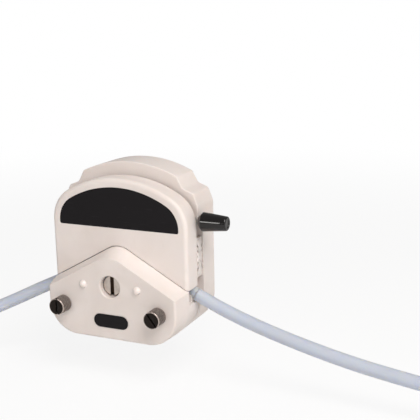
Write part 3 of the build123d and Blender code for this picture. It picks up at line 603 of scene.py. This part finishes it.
class PUMPHEAD_OT_screws(bpy.types.Operator):
    """Model the two mounting screws: diamond knurl, slotted face, shank and thread"""

    bl_idname = "pump_head.screws"
    bl_label = "Mounting screws"

    def execute(self, context):
        sizes, colours, _ = settings()
        for side, slot_turn in (("left", sizes.left_slot), ("right", sizes.right_slot)):
            self.screw(side, slot_turn, sizes, colours)
        return {"FINISHED"}

    def screw(self, side, slot_turn, sizes, colours):
        """One screw: rings from the thread's end along the shank, under the head, to its face.

        The thread's radius is a triangle wave of along / pitch + turn, which starts at nothing
        over its first pitch. The knurl's is the lower of two waves that climb opposite ways.
        """
        node = f"{side}_thumbscrew"
        low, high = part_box(node)
        x, _, z = middle(node)
        radius = (high[0] - low[0]) / 2
        face, end = low[1], high[1]
        seat = face + sizes.head_length
        columns = 216
        thread_step, knurl_step = 0.1 * MM, 0.14 * MM
        stretch = 1.6         # length of a diamond over its width
        steep = 1.6           # slope of a groove's flanks
        turn = np.arange(columns) / columns

        first_ring = end - 0.3 * MM
        thread_along = np.arange(first_ring, end - sizes.thread_length, -thread_step)
        wave = np.abs((thread_along[:, None] / sizes.thread_pitch + turn) % 1 * 2 - 1)
        started = np.clip((end - thread_along[:, None]) / sizes.thread_pitch, 0, 1)
        thread = sizes.thread_radius - sizes.thread_depth * (1 - wave * started)

        band, bend_radius = sizes.rim_band, sizes.rim_round
        knurl_along = np.arange(seat - band, face + band, -knurl_step)
        count = round(TURN * radius / sizes.knurl_pitch)
        climb = knurl_along[:, None] / (stretch * sizes.knurl_pitch)
        left_hand = np.abs((turn * count + climb) % 1 * 2 - 1)
        right_hand = np.abs((turn * count - climb) % 1 * 2 - 1)
        crest = np.minimum(np.minimum(left_hand, right_hand) * steep, 1)
        knurl = radius - sizes.knurl_depth * (1 - crest)

        bend = arc((0, 0), bend_radius, 0, 90, 5)
        rim = radius - bend_radius + bend[:, 0]
        under = np.stack([seat - bend_radius + bend[:, 1], rim], 1)
        outer = np.stack([face + bend_radius - bend[:, 1], rim], 1)
        lead = np.array([(end, sizes.thread_radius - 2 * sizes.thread_depth)])
        neck = [(end - sizes.thread_length, sizes.shank_radius), (seat, sizes.shank_radius)]
        shank = np.concatenate([neck, under[::-1]])
        front = np.concatenate([outer, [(face, radius / 2)]])

        along = np.concatenate([lead[:, 0], thread_along, shank[:, 0], knurl_along, front[:, 0]])
        lead_wide, shank_wide, front_wide = (
            np.broadcast_to(part[:, 1:], (len(part), columns)) for part in (lead, shank, front)
        )
        reach = np.concatenate([lead_wide, thread, shank_wide, knurl, front_wide])
        rings = revolve(along, reach, (x, 0, z), (0, 1, 0), (1, 0, 0), (0, 0, 1))
        material = blackened_knurl(
            f"{side}_blackened", tuple(colours.blackened), tuple(colours.worn), (x, z), radius,
            face,
        )
        piece = skin(f"{side}_screw_piece", rings, f"{side}_screw", material, 50.0)

        direction = np.array([math.cos(slot_turn), math.sin(slot_turn)])
        beside = np.array([-direction[1], direction[0]])
        corners = np.array([(s, t) for s in (-1, 1) for t in (-1, 1)])
        flat_corners = (corners[:, :1] * 2 * radius * direction
                        + corners[:, 1:] * sizes.slot_width / 2 * beside + (x, z))
        depths = (face - radius, face + sizes.slot_depth)
        points = [(px, y, pz) for y in depths for px, pz in flat_corners]
        box_faces = [
            (0, 1, 3, 2), (4, 6, 7, 5), (0, 4, 5, 1), (2, 3, 7, 6), (0, 2, 6, 4), (1, 5, 7, 3),
        ]
        cutter = solid("slot_cutter", points, box_faces, f"{side}_screw", material)
        carve(piece, cutter)
        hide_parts(node)


class PUMPHEAD_OT_lever(bpy.types.Operator):
    """Model the tapered lever handle, with a bored inner end and a dished tip"""

    bl_idname = "pump_head.lever"
    bl_label = "Lever"

    def execute(self, context):
        sizes, colours, _ = settings()
        low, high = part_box("lever_handle")
        _, y, z = middle("lever_handle")
        start, stop = low[0], high[0]
        root, inner, tip = (high[2] - low[2]) / 2, sizes.handle_inner, sizes.handle_tip
        bore, bore_depth = 0.74 * inner, 3 * MM     # seat of the arm in the inner end
        lip, soft, end_round, dish_round = 0.4 * MM, 0.7 * MM, 1.1 * MM, 0.26 * MM
        slope = math.degrees(math.atan2(root - tip, stop - start - sizes.handle_cone))
        shoulder = (start + sizes.handle_cone + 0.35 * soft, root - soft)
        profile = np.concatenate([
            [(start + bore_depth, 0.5 * inner), (start + bore_depth, bore),
             (start + 0.2 * MM, bore), (start, 0.8 * inner)],
            arc((start + lip, inner - lip), lip, 175, 130, 4),
            arc(shoulder, soft, 128, 90 - slope, 6),
            arc((stop - end_round, tip - end_round), end_round, 90 - slope, 4, 8),
            [(stop - 0.04 * MM, 0.62 * tip)],
            arc((stop - 0.3 * MM, 0.54 * tip), dish_round, 90, 180, 4)[1:],
            [(stop - 0.62 * MM, 0.30 * tip), (stop - 0.66 * MM, 0.12 * tip)],
        ])
        along, reach = profile.T
        rings = revolve(along, reach, (0, y, z), (1, 0, 0), (0, 1, 0), (0, 0, 1), 96)
        grip = polished_handle("polished_handle", tuple(colours.handle))
        piece = skin("grip", rings, "lever", grip)
        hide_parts("lever_handle")
        return {"FINISHED"}


class PUMPHEAD_OT_clamps(bpy.types.Operator):
    """Add the leaf, wide and narrow by turns, that stands on each tube clamp's leg"""

    bl_idname = "pump_head.clamps"
    bl_label = "Clamp leaves"

    def execute(self, context):
        sizes, colours, _ = settings()
        material = moulded_ivory("clamp_leaf", tuple(colours.ivory), 0.25 * MM, gloss=0.34)
        steps, narrow = 6, 0.55       # wide parts, and the narrow parts' share of their width
        edge, top_gap, foot_gap = 0.5 * MM, 1.2 * MM, 2 * MM      # leg left bare round the leaf
        # From the root in the leg to the chamfered top: each ring's rise and how far it shrinks
        lifts = np.array([-0.3, 0.55, 1.0]) * sizes.leaf_thick
        insets = np.array([0.0, 0.0, 0.0875])
        for side, name in ((-1, "left"), (1, "right")):
            low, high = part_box(f"{name}_tube_clamp")
            outer = high[0] if side > 0 else low[0]
            centre_depth = (high[1] + sizes.leg_front) / 2
            half = (high[1] - sizes.leg_front) / 2 - edge
            heights = np.linspace(high[2] - top_gap, low[2] + foot_gap, 2 * steps + 1)
            widths = half * np.where(np.arange(2 * steps + 1) % 2 == 0, narrow, 1.0)
            right_edge = np.stack([centre_depth + widths, heights], 1)
            left_edge = np.stack([centre_depth - widths, heights], 1)[::-1]
            outline = np.concatenate([right_edge, left_edge])
            shrunk = outline + (outline.mean(0) - outline) * insets[:, None, None]
            rings = np.stack(
                [np.broadcast_to((outer + side * lifts)[:, None], shrunk.shape[:2]),
                 shrunk[..., 0], shrunk[..., 1]], -1,
            )
            leaf = skin(f"{name}_leaf", rings, "upper_block", material, 20.0)
        return {"FINISHED"}


class PUMPHEAD_OT_rotor(bpy.types.Operator):
    """Finish the shaft, rotor, bearings, cam, rails and other inner pieces"""

    bl_idname = "pump_head.rotor"
    bl_label = "Inner pieces"

    def execute(self, context):
        sizes, colours, _ = settings()
        shaft_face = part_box("drive_shaft")[0][1]
        dress("stainless_steel", turned_steel(
            "turned_stainless", tuple(colours.stainless), shaft_face,
            shaft_face + sizes.shaft_slot,
        ))
        dress("bearing_steel", ground_steel("ground_steel", tuple(colours.ground)))
        dress("zinc_steel", zinc_plate("zinc_plate", tuple(colours.zinc)))
        dress("blackened_steel", ground_steel("spring_steel", tuple(colours.worn), 0.34))
        dress("bronze", sintered_bronze("sintered_bronze", tuple(colours.bronze)))
        dress("grey_polymer", moulded_polymer("grey_polymer", tuple(colours.grey)))
        dress("roller_polymer", moulded_polymer("roller_polymer", tuple(colours.roller), 0.30))
        return {"FINISHED"}


# Length and route of each free tube in mm: exit, lead out of the clamp, then down to its end
TUBES = {
    "left_tube": (92.6, (
        (-57.6, -34.0, -7.403), (-76.0, -34.0, -15.595), (-97.0, -42.0, -26.0),
        (-115.0, -57.0, -34.0), (-131.0, -73.0, -39.5),
    )),
    "right_tube": (188.1, (
        (57.6, -34.0, -7.403), (76.0, -34.0, -15.595), (104.0, -34.6, -25.2),
        (136.0, -36.4, -33.2), (171.0, -38.6, -40.2), (206.0, -40.6, -45.2),
        (240.0, -43.4, -48.2),
    )),
}


class PUMPHEAD_OT_tubes(bpy.types.Operator):
    """Draw the free tubes as hollow silicone tube and finish the tube inside the head"""

    bl_idname = "pump_head.tubes"
    bl_label = "Tubes"

    def execute(self, context):
        sizes, colours, _ = settings()
        silicone = milky_silicone("milky_silicone", tuple(colours.silicone))
        dress("silicone", silicone)
        for name, (tube_length, route) in TUBES.items():
            points = np.array(route) * MM
            drawn = bpy.data.curves.new(f"{name}_line", "CURVE")
            drawn.dimensions = "3D"
            drawn.bevel_depth = sizes.tube_radius
            drawn.bevel_resolution = 10
            drawn.resolution_u = 20
            line = drawn.splines.new("NURBS")
            line.points.add(len(points) - 1)
            weighted = np.column_stack([points, np.ones(len(points))])
            line.points.foreach_set("co", weighted.ravel())
            line.order_u = 3
            line.use_endpoint_u = True
            drawn.materials.append(silicone)
            tube = bpy.data.objects.new(f"{name}_drawn", drawn)
            context.scene.collection.objects.link(tube)
            wall = tube.modifiers.new("wall", "SOLIDIFY")
            wall.thickness = sizes.tube_wall
            wall.offset = -1
            wall.use_even_offset = True
            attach(tube, "pump_body")
            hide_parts(name)
        return {"FINISHED"}


class PUMPHEAD_OT_studio(bpy.types.Operator):
    """Set up the pale floor, the soft lamps and the camera"""

    bl_idname = "pump_head.studio"
    bl_label = "Studio"

    def execute(self, context):
        _, _, studio = settings()
        scene = context.scene
        scene.view_settings.view_transform = "Standard"
        self.camera(scene, studio)
        self.floor(scene, studio)
        self.world(scene, studio)
        aim = Vector((0, -0.03, 0.02))
        for name, power, width, place in (
            ("key_lamp", studio.key_power, 0.7, (0.60, -0.50, 0.95)),
            ("fill_lamp", studio.fill_power, 0.24, (-0.20, -1.13, 0.26)),
            ("side_lamp", studio.side_power, 0.7, (1.05, -0.25, 0.25)),
        ):
            lamp = bpy.data.lights.new(name, "AREA")
            lamp.energy = power
            lamp.size = width
            lamp.color = LAMP_TINT
            holder = bpy.data.objects.new(name, lamp)
            holder.location = place
            holder.rotation_mode = "QUATERNION"
            holder.rotation_quaternion = (aim - Vector(place)).to_track_quat("-Z", "Y")
            scene.collection.objects.link(holder)
        return {"FINISHED"}

    def camera(self, scene, studio):
        """Camera at the eye, looking along its azimuth and elevation, then rolled."""
        flat = math.cos(studio.elevation)
        forward = Vector((
            -math.sin(studio.azimuth) * flat, math.cos(studio.azimuth) * flat,
            -math.sin(studio.elevation),
        ))
        lens = bpy.data.cameras.new("camera")
        lens.lens = studio.lens
        lens.sensor_width = 36
        holder = bpy.data.objects.new("camera", lens)
        holder.location = studio.eye
        holder.rotation_mode = "QUATERNION"
        holder.rotation_quaternion = (
            forward.to_track_quat("-Z", "Y") @ Quaternion((0, 0, 1), studio.roll)
        )
        scene.collection.objects.link(holder)
        scene.camera = holder

    def floor(self, scene, studio):
        """Wide pale floor that keeps the shadow and fades to the white background."""
        half = 6.0
        near_white = 0.86     # share of plain white near the object, where the shadow shows
        mesh = bpy.data.meshes.new("floor")
        mesh.from_pydata(
            [(-half, -half, studio.floor), (half, -half, studio.floor),
             (half, half, studio.floor), (-half, half, studio.floor)], [], [(0, 1, 2, 3)],
        )
        finish = Finish("pale_floor", Roughness=0.8, Specular_IOR_Level=0.1)
        cloud = finish.noise(0.3, 2.0)
        finish.set(Base_Color=finish.mix((0.86, 0.86, 0.86), (0.9, 0.9, 0.9), cloud))
        far = finish.radius(finish.x, finish.y).smooth(0.25, 1.2)
        glow = finish.node("ShaderNodeEmission", Color=WHITE, Strength=1.0)
        share = finish.seen() * (near_white + far * (1 - near_white))
        finish.show(finish.node("ShaderNodeMixShader", _0=share, _1=finish.shader, _2=glow))
        mesh.materials.append(finish.material)
        ground = bpy.data.objects.new("floor", mesh)
        scene.collection.objects.link(ground)

    def world(self, scene, studio):
        """White to the eye and through the tube, softer as a light and in reflections."""
        world = bpy.data.worlds.new("studio")
        world.use_nodes = True
        sky = Graph(world.node_tree, "ShaderNodeOutputWorld")
        white = sky.node("ShaderNodeBackground", Color=WHITE, Strength=1.0)
        soft = sky.node("ShaderNodeBackground", Color=WARM_WHITE, Strength=studio.backdrop)
        sky.show(sky.node("ShaderNodeMixShader", _0=sky.seen(), _1=soft, _2=white))
        scene.world = world


class PUMPHEAD_PT_panel(bpy.types.Panel):
    """Buttons for each group of pieces"""

    bl_idname = "PUMPHEAD_PT_panel"
    bl_label = "Pump head"
    bl_space_type = "VIEW_3D"
    bl_region_type = "UI"
    bl_category = "Pump head"

    def draw(self, context):
        for operator in OPERATORS:
            self.layout.operator(operator.bl_idname)


OPERATORS = (
    PUMPHEAD_OT_housings, PUMPHEAD_OT_labels, PUMPHEAD_OT_studs, PUMPHEAD_OT_rotor,
    PUMPHEAD_OT_screws, PUMPHEAD_OT_lever, PUMPHEAD_OT_clamps, PUMPHEAD_OT_tubes,
    PUMPHEAD_OT_studio,
)
GROUPS = (PumpHeadSizes, PumpHeadColours, PumpHeadStudio)


def register():
    """Adds the settings, the operators and the panel."""
    for group in (*GROUPS, *OPERATORS, PUMPHEAD_PT_panel):
        bpy.utils.register_class(group)
    bpy.types.Scene.pump_head_sizes = PointerProperty(type=PumpHeadSizes)
    bpy.types.Scene.pump_head_colours = PointerProperty(type=PumpHeadColours)
    bpy.types.Scene.pump_head_studio = PointerProperty(type=PumpHeadStudio)


def unregister():
    """Takes the settings, the operators and the panel away again."""
    del bpy.types.Scene.pump_head_studio
    del bpy.types.Scene.pump_head_colours
    del bpy.types.Scene.pump_head_sizes
    for group in reversed((*GROUPS, *OPERATORS, PUMPHEAD_PT_panel)):
        bpy.utils.unregister_class(group)


def main():
    """Builds every group in order."""
    register()
    for operator in OPERATORS:
        section, name = operator.bl_idname.split(".")
        getattr(getattr(bpy.ops, section), name)()


if __name__ == "__main__":
    main()
